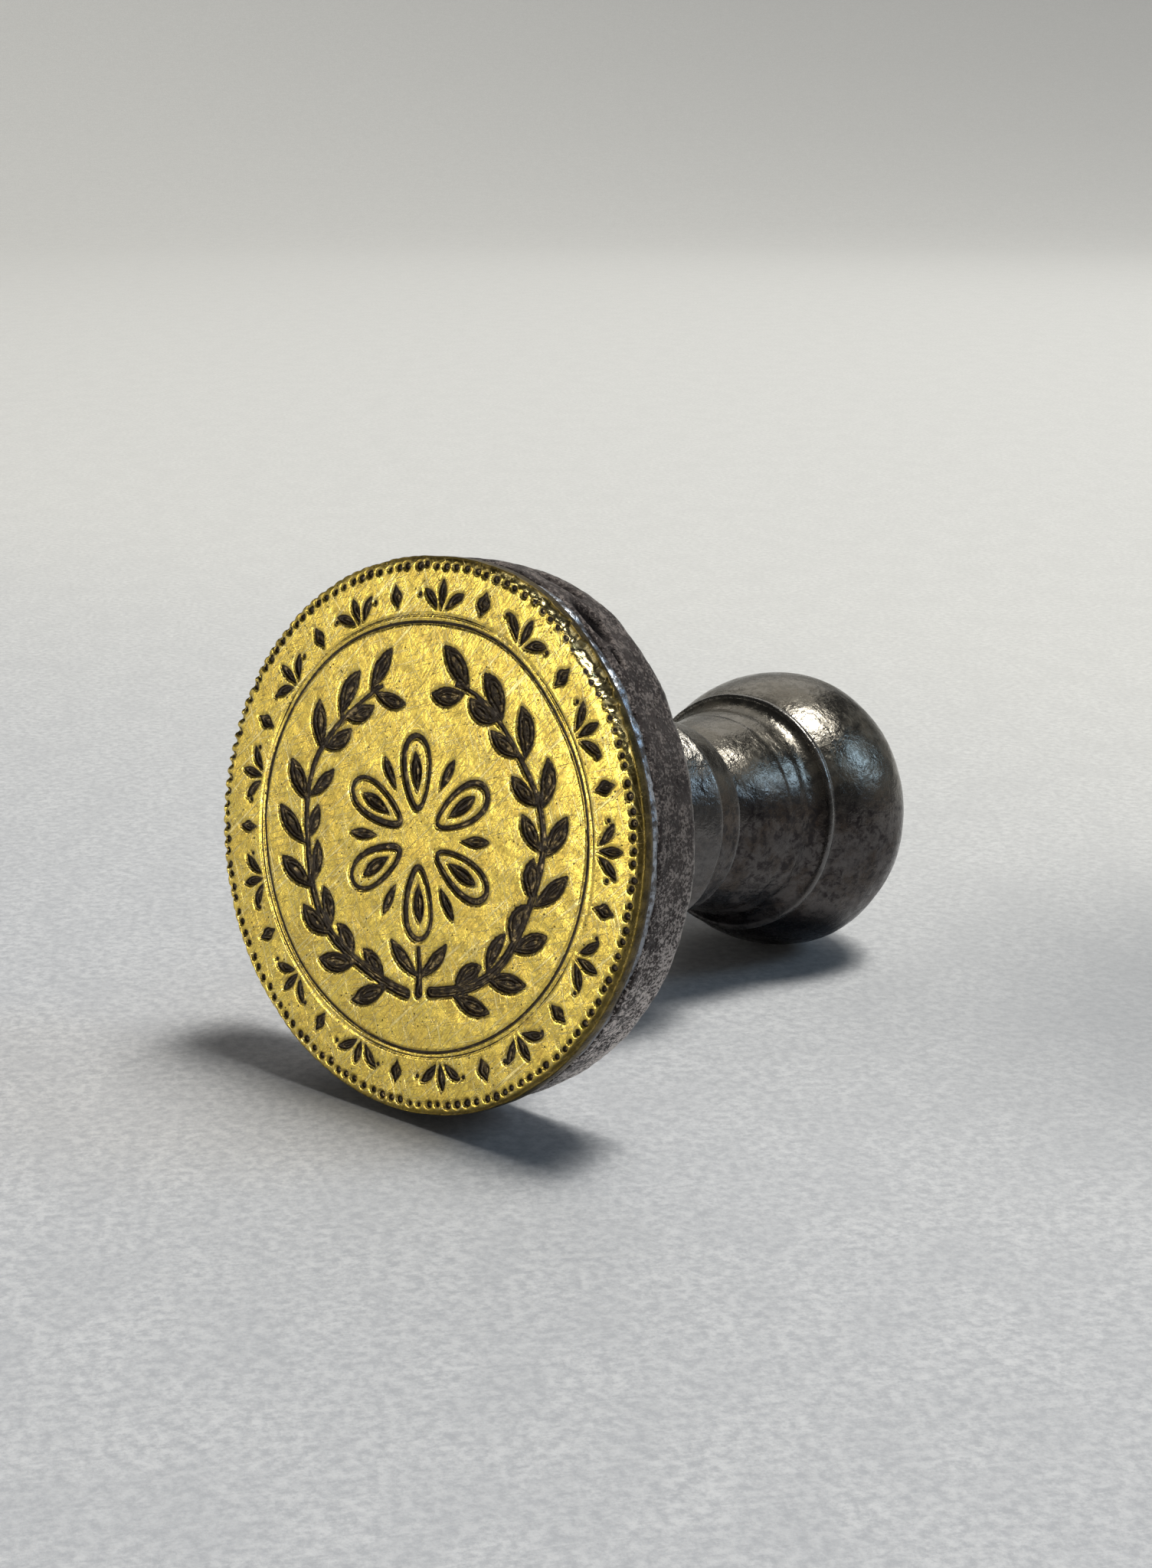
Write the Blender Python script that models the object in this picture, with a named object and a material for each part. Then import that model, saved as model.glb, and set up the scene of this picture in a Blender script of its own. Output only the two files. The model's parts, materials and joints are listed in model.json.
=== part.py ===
"""Hand seal for stamping: an engraved brass plate soldered to an iron disc on a turned iron handle.

The seal is modelled around its own axis and then laid on its side, as it lies on a table: the back rim
of the disc and the side of the knob touch z = 0, and the handle points to +Y. Units are metres, +Z is up.
In the seal's own frame the engraved face lies in z = 0 and looks to -Z, and the handle runs to +Z.
"""
import math

import bmesh
import bpy

MM = 0.001
GAP = 0.3 * MM                      # clearance between pieces that touch

# Layers, counted along the seal's axis from the engraved face.
FACE_RADIUS = 21.0 * MM
PLATE_THICKNESS = 1.25 * MM
PLATE_CHAMFER = 0.2 * MM
SOLDER_RADIUS = 20.75 * MM
SOLDER_THICKNESS = 0.6 * MM
DISC_BACK = 7.8 * MM                # back face of the iron disc
DISC_FRONT_RADIUS = 20.8 * MM
DISC_BACK_RADIUS = 20.45 * MM
DISC_EDGE_ROUND = 0.6 * MM
SOLDER_FRONT = PLATE_THICKNESS + GAP
DISC_FRONT = SOLDER_FRONT + SOLDER_THICKNESS + GAP

# Riveted tenon of the handle, through the disc.
TENON_RADIUS = 3.6 * MM
RIVET_HEAD_RADIUS = 5.4 * MM
RIVET_HEAD_DEPTH = 1.6 * MM

# Handle, named from the disc to the knob.
FOOT_RADIUS = 8.6 * MM
FOOT_HEIGHT = 2.2 * MM
STEM_RADIUS = 5.9 * MM
STEM_CENTRE = 15.0 * MM
COLLAR_RADIUS = 9.35 * MM           # at the lip of the collar that flares out of the stem
COLLAR_LIP = 27.0 * MM
COLLAR_ROUND = 0.5 * MM
COLLAR_FLARE = 1.4                  # power of the flare's curve; 1 is a straight cone
FILLET_RADIUS = 8.5 * MM
FILLET_START = 27.9 * MM
FILLET_END = 31.0 * MM
WAIST_RADIUS = 6.8 * MM
WAIST_END = 32.4 * MM
BODY_RADIUS = 8.75 * MM
BODY_END = 38.2 * MM
GROOVE_DEPTH = 0.2 * MM
BAND_RADIUS = 9.6 * MM
BAND_END = 40.8 * MM
RIDGE_RADIUS = 10.5 * MM
RIDGE_AT = 42.0 * MM
KNOB_RADIUS = 12.6 * MM
KNOB_CENTRE = 49.6 * MM
KNOB_END_LENGTH = 7.6 * MM          # the knob is flatter at its end than towards the ridge

# Engraving, cut into the plate.
ENGRAVING_DEPTH = 0.45 * MM
LEAF_DEPTH = 0.42 * MM
CIRCLE_LINE_RADII = (15.95 * MM, 16.35 * MM)
CIRCLE_LINE_WIDTH = 0.24 * MM
CIRCLE_LINE_DEPTH = 0.2 * MM
DOT_COUNT = 132
DOT_CIRCLE = 20.2 * MM
DOT_RADIUS = 0.34 * MM
DOT_DEPTH = 0.35 * MM
BORDER_CIRCLE = 18.1 * MM
BORDER_MOTIFS = 26
LOZENGE = (2.1 * MM, 1.2 * MM)
SPRIG_LEAF = (2.2 * MM, 0.75 * MM)
SPRIG_FOOT = 17.1 * MM
SPRIG_SPREAD = math.radians(1.5)    # between the feet of a sprig's leaves, seen from the face's centre
SPRIG_LEAF_TURN = math.radians(38)
WREATH_CIRCLE = 11.9 * MM
WREATH_LEAVES = 9                   # pairs of leaves on each branch
WREATH_FOOT = math.radians(-84)     # where a branch starts; 0 is the right of the face, 90 its top
WREATH_TIP = math.radians(72)
FIRST_LEAF = math.radians(-74)
LAST_LEAF = math.radians(66)
BRANCH_STEPS = 15
BRANCH_WIDTHS = (0.9 * MM, 0.4 * MM)
LEAF_FOOT = 0.22 * MM               # a leaf's foot, out from the middle of its branch
OUTER_LEAF = (4.2 * MM, 1.5 * MM)   # length and width
OUTER_LEAF_TURN = math.radians(38)  # away from the branch
INNER_LEAF = (3.7 * MM, 1.3 * MM)
INNER_LEAF_TURN = math.radians(42)
STEM_LINE = ((0.0, -8.5 * MM), (0.0, -10.0 * MM), (0.0, -11.6 * MM))
STEM_WIDTHS = (0.6 * MM, 0.9 * MM)
STEM_LEAF = (4.4 * MM, 1.3 * MM)
STEM_LEAF_AT = (0.0, -10.6 * MM)
STEM_LEAF_TURN = math.radians(125)
PETALS = 6
PETAL_START = 1.9 * MM
PETAL_LENGTH = 6.1 * MM
PETAL_WIDTH = 3.1 * MM
PETAL_LINE = 0.55 * MM              # width of the line that outlines a petal
PETAL_CORNERS = 14
PETAL_VEIN_START = 3.5 * MM
PETAL_VEIN = (3.5 * MM, 1.2 * MM)
BETWEEN_START = 4.3 * MM            # the leaf between two petals
BETWEEN_LEAF = (3.0 * MM, 1.0 * MM)
DESIGN_TURN = math.radians(8)       # the engraving is turned a little on the disc

ROUND_STEPS = 72                    # facets around the disc and the plate
HANDLE_STEPS = 48                   # facets around the handle


def clear_scene():
    for thing in list(bpy.data.objects):
        bpy.data.objects.remove(thing, do_unlink=True)


def metal(name, colour, roughness):
    material = bpy.data.materials.new(name)
    material.use_nodes = True
    shader = material.node_tree.nodes["Principled BSDF"]
    shader.inputs["Base Color"].default_value = (*colour, 1.0)
    shader.inputs["Roughness"].default_value = roughness
    shader.inputs["Metallic"].default_value = 1.0
    material.diffuse_color = (*colour, 1.0)
    return material


def arc(centre, half_length, half_width, start, end, steps):
    """Points (height, radius) on an ellipse; angles from the outward radius towards the knob."""
    points = []
    for i in range(steps + 1):
        angle = math.radians(start + (end - start) * i / steps)
        height = centre[0] + half_length * math.sin(angle)
        radius = centre[1] + half_width * math.cos(angle)
        points.append((height, radius))
    return points


def blend(start, end, steps):
    """Points (height, radius) on an S-curve between two points, level at both."""
    points = []
    for i in range(1, steps):
        t = i / steps
        ease = t * t * (3 - 2 * t)
        points.append((start[0] + (end[0] - start[0]) * t, start[1] + (end[1] - start[1]) * ease))
    return points


def flare(start, end, power, steps):
    """Points (height, radius) that leave start level and reach end at the steepest; neither end is in."""
    points = []
    for i in range(1, steps):
        t = i / steps
        points.append((start[0] + (end[0] - start[0]) * t, start[1] + (end[1] - start[1]) * t ** power))
    return points


def plate_profile():
    """Half section of the brass plate: engraved face with two circle lines, then the edge and the back."""
    points = [(0.0, 0.0)]
    for radius in CIRCLE_LINE_RADII:
        points += [
            (0.0, radius - CIRCLE_LINE_WIDTH / 2),
            (CIRCLE_LINE_DEPTH, radius),
            (0.0, radius + CIRCLE_LINE_WIDTH / 2),
        ]
    points += [
        (0.0, FACE_RADIUS - PLATE_CHAMFER),
        (PLATE_CHAMFER, FACE_RADIUS),
        (PLATE_THICKNESS, FACE_RADIUS),
        (PLATE_THICKNESS, 0.0),
    ]
    return points


def solder_profile():
    back = SOLDER_FRONT + SOLDER_THICKNESS
    return [(SOLDER_FRONT, 0.0), (SOLDER_FRONT, SOLDER_RADIUS), (back, SOLDER_RADIUS), (back, 0.0)]


def disc_profile():
    """Closed section of the iron disc, with a hole countersunk at the front for the riveted tenon."""
    hole = TENON_RADIUS + GAP
    countersink = RIVET_HEAD_RADIUS + GAP
    corner = (DISC_BACK - DISC_EDGE_ROUND, DISC_BACK_RADIUS - DISC_EDGE_ROUND)
    points = [
        (DISC_FRONT + RIVET_HEAD_DEPTH + GAP, hole),
        (DISC_FRONT, countersink),
        (DISC_FRONT, DISC_FRONT_RADIUS - DISC_EDGE_ROUND / 2),
        (DISC_FRONT + DISC_EDGE_ROUND / 2, DISC_FRONT_RADIUS),
    ]
    points += arc(corner, DISC_EDGE_ROUND, DISC_EDGE_ROUND, 0, 90, 4)
    points += [(DISC_BACK, hole), (DISC_FRONT + RIVET_HEAD_DEPTH + GAP, hole)]
    return points


def handle_profile():
    """Half section of the handle from the rivet head, through the disc, to the end of the knob."""
    head = DISC_FRONT + GAP
    foot = DISC_BACK + GAP
    points = [
        (head, 0.0),
        (head, RIVET_HEAD_RADIUS - GAP),
        (head + RIVET_HEAD_DEPTH, TENON_RADIUS),
        (foot, TENON_RADIUS),
        (foot, FOOT_RADIUS),
    ]
    points += arc((foot + FOOT_HEIGHT / 2, FOOT_RADIUS), FOOT_HEIGHT / 2, FOOT_HEIGHT / 3, -60, 90, 4)
    points += blend((foot + FOOT_HEIGHT, FOOT_RADIUS), (STEM_CENTRE, STEM_RADIUS), 4)
    points += [(STEM_CENTRE, STEM_RADIUS)]
    points += flare((STEM_CENTRE, STEM_RADIUS), (COLLAR_LIP, COLLAR_RADIUS), COLLAR_FLARE, 6)
    points += arc((COLLAR_LIP, COLLAR_RADIUS - COLLAR_ROUND), COLLAR_ROUND, COLLAR_ROUND, 0, 80, 3)
    points += [
        (FILLET_START, FILLET_RADIUS),
        (FILLET_END, FILLET_RADIUS),
        (FILLET_END + GAP, WAIST_RADIUS),
        (WAIST_END, WAIST_RADIUS),
        (BODY_END, BODY_RADIUS),
        (BODY_END + GROOVE_DEPTH, BODY_RADIUS - GROOVE_DEPTH),
        (BODY_END + 2 * GROOVE_DEPTH, BODY_RADIUS + GROOVE_DEPTH),
        (BAND_END, BAND_RADIUS),
    ]
    points += arc((BAND_END, RIDGE_RADIUS), RIDGE_AT - BAND_END, BAND_RADIUS - RIDGE_RADIUS, 25, 90, 3)
    start = math.acos(RIDGE_RADIUS / KNOB_RADIUS)
    front_length = (KNOB_CENTRE - RIDGE_AT - GAP) / math.sin(start)
    points += arc((KNOB_CENTRE, 0.0), front_length, KNOB_RADIUS, -math.degrees(start), 0, 4)
    points += arc((KNOB_CENTRE, 0.0), KNOB_END_LENGTH, KNOB_RADIUS, 0, 90, 8)[1:]
    points[-1] = (KNOB_CENTRE + KNOB_END_LENGTH, 0.0)
    return points


def turned(name, profile, material, steps):
    """A piece turned around the seal's axis by a Screw modifier; the profile runs from front to back."""
    mesh = bpy.data.meshes.new(name)
    vertices = [(radius, 0.0, height) for height, radius in reversed(profile)]
    edges = [(i, i + 1) for i in range(len(vertices) - 1)]
    mesh.from_pydata(vertices, edges, [])
    thing = bpy.data.objects.new(name, mesh)
    bpy.context.collection.objects.link(thing)
    mesh.materials.append(material)
    screw = thing.modifiers.new("Turn", "SCREW")
    screw.axis = "Z"
    screw.steps = steps
    screw.render_steps = steps
    screw.use_merge_vertices = True
    screw.merge_threshold = 0.00001
    screw.use_smooth_shade = True
    return thing


def leaf_outline(base, direction, length, width):
    """A teardrop that starts at base and points along direction, as (right, up) points on the face."""
    sides = 4
    along = (math.cos(direction), math.sin(direction))
    left, right = [], []
    for i in range(1, sides):
        t = i / sides
        half = width / 2 * math.sin(math.pi * t ** 0.8)
        x = base[0] + along[0] * length * t
        y = base[1] + along[1] * length * t
        left.append((x - along[1] * half, y + along[0] * half))
        right.append((x + along[1] * half, y - along[0] * half))
    tip = (base[0] + along[0] * length, base[1] + along[1] * length)
    return [base] + right + [tip] + left[::-1]


def stroke_outline(points, width_start, width_end):
    """A tapering stroke along a line of (right, up) points."""
    left, right = [], []
    last = len(points) - 1
    for i, (x, y) in enumerate(points):
        before = points[max(i - 1, 0)]
        after = points[min(i + 1, last)]
        length = math.hypot(after[0] - before[0], after[1] - before[1])
        normal = (-(after[1] - before[1]) / length, (after[0] - before[0]) / length)
        half = (width_start + (width_end - width_start) * i / last) / 2
        left.append((x + normal[0] * half, y + normal[1] * half))
        right.append((x - normal[0] * half, y - normal[1] * half))
    return right + left[::-1]


def polar(radius, angle):
    return (radius * math.cos(angle), radius * math.sin(angle))


def wreath_angles(side):
    """Angles of a branch's first leaf to its last, from the bottom of the face up one side."""
    for i in range(WREATH_LEAVES):
        angle = FIRST_LEAF + (LAST_LEAF - FIRST_LEAF) * i / (WREATH_LEAVES - 1)
        yield angle if side > 0 else math.pi - angle


def branch_outlines():
    """The two branches of the wreath, and the stem between them."""
    outlines = []
    for side in (1, -1):
        line = []
        for i in range(BRANCH_STEPS + 1):
            angle = WREATH_FOOT + (WREATH_TIP - WREATH_FOOT) * i / BRANCH_STEPS
            line.append(polar(WREATH_CIRCLE, angle if side > 0 else math.pi - angle))
        outlines.append(stroke_outline(line, *BRANCH_WIDTHS))
    outlines.append(stroke_outline(STEM_LINE, *STEM_WIDTHS))
    return outlines


def petal_loop(angle, shrink):
    """Corners of one petal, drawn in from its outline by shrink; it is widest beyond its middle."""
    corners = []
    for i in range(PETAL_CORNERS):
        turn = 2 * math.pi * i / PETAL_CORNERS
        along = PETAL_START + PETAL_LENGTH / 2 - (PETAL_LENGTH / 2 - shrink) * math.cos(turn)
        across = (PETAL_WIDTH / 2 - shrink) * math.sin(turn) * (1 - 0.3 * math.cos(turn))
        corners.append(polar(math.hypot(along, across), angle + math.atan2(across, along)))
    return corners


def leaf_outlines():
    """Leaves on the branches and on the stem, and the leaf-shaped cuts in and between the petals."""
    outlines = []
    for side in (1, -1):
        for angle in wreath_angles(side):
            growth = angle + side * math.pi / 2
            outer = polar(WREATH_CIRCLE + LEAF_FOOT, angle)
            inner = polar(WREATH_CIRCLE - LEAF_FOOT, angle)
            outlines.append(leaf_outline(outer, growth - side * OUTER_LEAF_TURN, *OUTER_LEAF))
            outlines.append(leaf_outline(inner, growth + side * INNER_LEAF_TURN, *INNER_LEAF))
    for i in range(PETALS):
        angle = math.pi / 2 + i * 2 * math.pi / PETALS
        between = angle + math.pi / PETALS
        outlines.append(leaf_outline(polar(PETAL_VEIN_START, angle), angle, *PETAL_VEIN))
        outlines.append(leaf_outline(polar(BETWEEN_START, between), between, *BETWEEN_LEAF))
    for side in (1, -1):
        outlines.append(leaf_outline(STEM_LEAF_AT, -math.pi / 2 + side * STEM_LEAF_TURN, *STEM_LEAF))
    return outlines


def border_outlines():
    """Lozenges between sprigs of three short leaves, around the band outside the circle lines."""
    outlines = []
    long_half, short_half = LOZENGE[0] / 2, LOZENGE[1] / 2
    for i in range(BORDER_MOTIFS):
        angle = i * 2 * math.pi / BORDER_MOTIFS
        if i % 2:
            corners = ((-long_half, 0.0), (0.0, -short_half), (long_half, 0.0), (0.0, short_half))
            outline = []
            for radial, across in corners:
                outline.append(polar(BORDER_CIRCLE + radial, angle + across / BORDER_CIRCLE))
            outlines.append(outline)
        else:
            for side in (-1, 0, 1):
                base = polar(SPRIG_FOOT, angle + side * SPRIG_SPREAD)
                outlines.append(leaf_outline(base, angle + side * SPRIG_LEAF_TURN, *SPRIG_LEAF))
    return outlines


def turned_design(point):
    """A (right, up) point of the design where the turned seal has it; the face's up is the seal's -Y."""
    cosine, sine = math.cos(DESIGN_TURN), math.sin(DESIGN_TURN)
    return (point[0] * cosine - point[1] * sine, -(point[0] * sine + point[1] * cosine))


def extrude(shape, faces, depth):
    """Pull flat faces at the engraving's floor out to well in front of the face."""
    extruded = bmesh.ops.extrude_face_region(shape, geom=faces)
    moved = [item for item in extruded["geom"] if isinstance(item, bmesh.types.BMVert)]
    bmesh.ops.translate(shape, verts=moved, vec=(0.0, 0.0, 2 * depth))


def finish_cutter(name, shape):
    mesh = bpy.data.meshes.new(name)
    bmesh.ops.recalc_face_normals(shape, faces=shape.faces[:])
    shape.to_mesh(mesh)
    shape.free()
    thing = bpy.data.objects.new(name, mesh)
    bpy.context.collection.objects.link(thing)
    thing.hide_render = True
    thing.display_type = "WIRE"
    return thing


def cutter(name, outlines, depth):
    """One mesh of closed prisms that reach from in front of the face to the engraving's floor."""
    shape = bmesh.new()
    for outline in outlines:
        corners = [shape.verts.new((*turned_design(point), -depth)) for point in outline]
        extrude(shape, [shape.faces.new(corners)], depth)
    return finish_cutter(name, shape)


def petal_cutter(name, depth):
    """Closed loops that outline the petals of the rosette."""
    shape = bmesh.new()
    for i in range(PETALS):
        angle = math.pi / 2 + i * 2 * math.pi / PETALS
        outer = [shape.verts.new((*turned_design(point), -depth)) for point in petal_loop(angle, 0.0)]
        inner = [shape.verts.new((*turned_design(point), -depth)) for point in petal_loop(angle, PETAL_LINE)]
        faces = []
        for j in range(PETAL_CORNERS):
            after = (j + 1) % PETAL_CORNERS
            faces.append(shape.faces.new((outer[j], outer[after], inner[after], inner[j])))
        extrude(shape, faces, depth)
    return finish_cutter(name, shape)


def dot_cutter(name):
    """Cones that punch the ring of dots along the rim."""
    shape = bmesh.new()
    for i in range(DOT_COUNT):
        made = bmesh.ops.create_cone(
            shape, cap_ends=True, segments=5, radius1=2 * DOT_RADIUS, radius2=0.0, depth=2 * DOT_DEPTH
        )
        x, y = polar(DOT_CIRCLE, i * 2 * math.pi / DOT_COUNT)
        bmesh.ops.translate(shape, verts=made["verts"], vec=(x, y, 0.0))
    return finish_cutter(name, shape)


def cut(target, tool):
    boolean = target.modifiers.new("Engrave " + tool.name, "BOOLEAN")
    boolean.operation = "DIFFERENCE"
    boolean.solver = "EXACT"
    boolean.object = tool


def lowest(profile, tilt):
    """How far a turned profile reaches below the seal's axis line when the knob end tips down by tilt."""
    return max(height * math.sin(tilt) + radius * math.cos(tilt) for height, radius in profile)


def resting_tilt(disc, handle):
    """The tilt at which the disc and the knob both touch the table, found by halving the interval."""
    low, high = 0.0, math.radians(45)
    for _ in range(50):
        middle = (low + high) / 2
        if lowest(disc, middle) > lowest(handle, middle):
            low = middle
        else:
            high = middle
    return (low + high) / 2


def build():
    clear_scene()
    brass = metal("engraved_brass", (0.66, 0.50, 0.17), 0.3)
    solder = metal("silver_solder", (0.45, 0.47, 0.50), 0.45)
    rough_iron = metal("pitted_iron", (0.16, 0.15, 0.15), 0.65)
    dark_iron = metal("turned_iron", (0.12, 0.10, 0.09), 0.35)

    plate = turned("face_plate", plate_profile(), brass, ROUND_STEPS)
    layer = turned("solder_layer", solder_profile(), solder, ROUND_STEPS)
    disc = turned("backing_disc", disc_profile(), rough_iron, ROUND_STEPS)
    handle = turned("handle", handle_profile(), dark_iron, HANDLE_STEPS)

    tools = [
        cutter("cut_branches", branch_outlines(), ENGRAVING_DEPTH),
        petal_cutter("cut_petals", ENGRAVING_DEPTH),
        cutter("cut_leaves", leaf_outlines(), LEAF_DEPTH),
        cutter("cut_border", border_outlines(), ENGRAVING_DEPTH),
        dot_cutter("cut_dots"),
    ]
    for tool in tools:
        cut(plate, tool)

    tilt = resting_tilt(disc_profile(), handle_profile())
    ends = []
    for height, radius in plate_profile() + disc_profile() + handle_profile():
        for side in (1, -1):
            ends.append(height * math.cos(tilt) + side * radius * math.sin(tilt))
    middle = (min(ends) + max(ends)) / 2

    seal = bpy.data.objects.new("seal", None)
    bpy.context.collection.objects.link(seal)
    seal.location = (0.0, -middle, lowest(disc_profile(), tilt))
    seal.rotation_euler = (-(math.pi / 2 + tilt), 0.0, 0.0)
    for piece in [plate, layer, disc, handle] + tools:
        piece.parent = seal
    bpy.context.view_layer.update()


build()
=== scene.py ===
"""Looks of the hand seal: engraved brass, solder, pitted iron and worn turned iron on pale paper.

The seal lies on its side, so its shapes are worked out in its own frame and then placed. There, right
and up are across the engraved face and back runs along the axis from the face towards the knob, all in
millimetres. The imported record's one mount gives the face's middle and the way it looks.
"""

import json
import math

import bpy
import numpy as np
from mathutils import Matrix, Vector


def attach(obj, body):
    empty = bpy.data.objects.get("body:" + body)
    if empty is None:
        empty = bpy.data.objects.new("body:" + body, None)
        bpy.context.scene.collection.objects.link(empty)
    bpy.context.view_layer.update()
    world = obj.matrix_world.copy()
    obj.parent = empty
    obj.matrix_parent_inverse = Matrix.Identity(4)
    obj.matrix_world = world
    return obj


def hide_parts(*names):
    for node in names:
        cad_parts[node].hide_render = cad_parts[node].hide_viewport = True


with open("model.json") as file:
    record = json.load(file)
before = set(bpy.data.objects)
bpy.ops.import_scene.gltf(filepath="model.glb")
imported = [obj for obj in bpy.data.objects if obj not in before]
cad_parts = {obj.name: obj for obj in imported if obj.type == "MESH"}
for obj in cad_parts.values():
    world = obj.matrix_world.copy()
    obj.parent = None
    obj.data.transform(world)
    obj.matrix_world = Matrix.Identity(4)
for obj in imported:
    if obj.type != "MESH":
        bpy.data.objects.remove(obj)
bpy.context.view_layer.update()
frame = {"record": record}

# ---------------------------------------------------------------------------------------------- sizes, in mm
FACE_RADIUS = 21.0
PLATE_BACK = 1.3
SOLDER_FRONT = 1.25
SOLDER_BACK = 2.4
SOLDER_RADIUS = 20.72
DISC_FRONT = 2.3
DISC_BACK = 7.8
DISC_FRONT_RADIUS = 20.8
DISC_BACK_RADIUS = 20.4
FOOT_RADIUS = 8.6
FOOT_END = 10.3
STEM_RADIUS = 5.9
STEM_CENTRE = 15.0
COLLAR_RADIUS = 9.35
COLLAR_LIP = 27.0
COLLAR_ROUND = 0.5
COLLAR_FLARE = 1.4
FILLET_RADIUS = 8.5
FILLET_START = 27.9
FILLET_END = 31.0
WAIST_RADIUS = 6.8
WAIST_END = 32.4
BODY_RADIUS = 8.75
BODY_END = 38.2
COVE_START = 39.7
COVE_RADIUS = 9.1
RIDGE_RADIUS = 10.5
RIDGE_AT = 42.0
KNOB_RADIUS = 12.6
KNOB_CENTRE = 49.6
KNOB_END_LENGTH = 7.6

# rings down the plate's side: how far back, the share of the full radius reached, and dullness
PLATE_SIDE = (
    (0.05, 0.6, 0.0), (0.13, 0.9, 0.3), (0.24, 1.0, 0.9), (0.6, 1.0, 1.0), (1.0, 1.0, 1.0),
    (PLATE_BACK, 0.97, 1.0),
)

# engraving
ENGRAVING_DEPTH = 0.45
DESIGN_TURN = math.radians(8)
DOT_COUNT = 132
DOT_CIRCLE = 20.2
DOT_RADIUS = 0.34
BORDER_CIRCLE = 18.1
BORDER_MOTIFS = 26
WREATH_CIRCLE = 11.9
WREATH_LEAVES = 9
PETALS = 6
PETAL_START = 1.9
PETAL_LENGTH = 6.1
PETAL_WIDTH = 3.1
PETAL_LINE = 0.6
CIRCLE_LINES = ((16.15, 0.15), (16.61, 0.09))  # radius and half width

# wear; angles in degrees run from the right of the face over its top, and a side is its middle and width
BROKEN_DOTS = (170, 55)
BROKEN_DOTS_OUTWARD = 0.42                      # how far out the dots lie there
BITE_WIDTH = 0.2                                # of the notch that such a dot leaves in the rim
BITE_DEPTH = 0.2
BLOWS = (50, 24)
HARDEST_BLOWS = (46, 10)
LEDGE_RADIUS = 20.36                            # outside it the battered rim has broken away
LEDGE_SLOPE = 0.26
BEVEL = (14, 82)
BEVEL_RADIUS = 20.42
BEVEL_SLOPE = 0.38
BEVEL_DEPTH = 0.34
HOLLOWS = ((71, 5.1, 6.0, 0.85), (58, 3.7, 6.5, 0.9), (48, 3.5, 2.5, 0.4))  # angle, back, half sizes
HOLLOW_DEPTH = 0.45
CLEARANCE = 0.03                                # keeps the uneven brass within the plate's true size

# out of round
ROUND_WITHIN = 10.0                             # nothing moves nearer the axis
BULGE_AT = 69
FACE_BULGE = 0.45
DISC_BULGE = 0.25                               # more than the face's
WIDE_SIDE = 130
WIDENING = 0.10

# vertices around each piece
PLATE_COUNT = 900
SOLDER_COUNT = 600
DISC_COUNT = 560
HANDLE_COUNT = 200
PAPER_COUNT = 96
FAR = 9.0                                       # stands for "no cut near here", in mm

# paper, in metres
PAPER_FLAT = 1.3
PAPER_CURVE = 0.9

mount = frame["record"]["mounts"][0]
face_middle = Vector(mount["pos_m"])
back = -Vector(mount["axis"]).normalized()
right = Vector((1.0, 0.0, 0.0))
up = right.cross(back).normalized()
chance = np.random.default_rng(7)


# ---------------------------------------------------------------------------------------------- mesh helpers
def out_of_round(points):
    """Filed by hand, the face and the disc bulge a little at their upper right."""
    radius = np.hypot(points[:, 0], points[:, 1])
    angle = np.degrees(np.arctan2(points[:, 1], points[:, 0]))
    # Nothing moves near the axis or on the handle.
    share = np.clip((radius - ROUND_WITHIN) / 9.0, 0, 1)
    share = share * share * (3 - 2 * share) * (points[:, 2] < DISC_BACK + 0.4)
    behind = np.clip((points[:, 2] - SOLDER_FRONT) / 2.0, 0, 1)
    spread = 18 + 12 * behind
    bulge = (FACE_BULGE + DISC_BULGE * behind) * np.exp(-(((angle - BULGE_AT) / spread) ** 2))
    growth = share * (bulge + WIDENING * (1 + np.cos(np.radians(angle - WIDE_SIDE))))
    scale = 1 + growth / np.maximum(radius, 1.0)
    return points * np.column_stack((scale, scale, np.ones(len(points))))


def place(points):
    """World positions in metres of (right, up, back) points in millimetres."""
    basis = np.array([right[:], up[:], back[:]])
    return np.array(face_middle[:]) + out_of_round(points) @ basis * 0.001


def make_piece(name, points, faces, material, node=None, fields=None):
    """A mesh piece on the body, from points in the seal's frame; fields hold a number for each vertex."""
    mesh = bpy.data.meshes.new(name)
    mesh.from_pydata(place(points).tolist(), [], faces)
    own = mesh.attributes.new("seal", "FLOAT_VECTOR", "POINT")
    own.data.foreach_set("vector", points.astype(np.float32).ravel())
    for field, values in (fields or {}).items():
        layer = mesh.attributes.new(field, "FLOAT", "POINT")
        layer.data.foreach_set("value", values.astype(np.float32))
    mesh.polygons.foreach_set("use_smooth", [True] * len(mesh.polygons))
    mesh.materials.append(material)
    mesh.update()
    piece = bpy.data.objects.new(name, mesh)
    bpy.context.collection.objects.link(piece)
    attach(piece, "root")
    if node:
        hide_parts(node)
    return piece


def ring_faces(first, second, count):
    """Quads between two rings of equal count, given by their first vertex."""
    after = [(i + 1) % count for i in range(count)]
    return [(first + i, first + after[i], second + after[i], second + i) for i in range(count)]


def waves(points, scale, seed, octaves=3):
    """Smooth noise between about -1 and 1, as a sum of sine waves; scale is the widest wave in mm."""
    source = np.random.default_rng(seed)
    total = np.zeros(len(points))
    size = 1.0
    for _ in range(octaves):
        for _ in range(7):
            direction = source.normal(size=points.shape[1])
            direction /= np.linalg.norm(direction)
            phase = source.uniform(0, 2 * math.pi)
            total += size * np.sin(points @ direction * 2 * math.pi / scale + phase) / 3.0
        scale, size = scale / 2.1, size / 1.9
    return total


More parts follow.
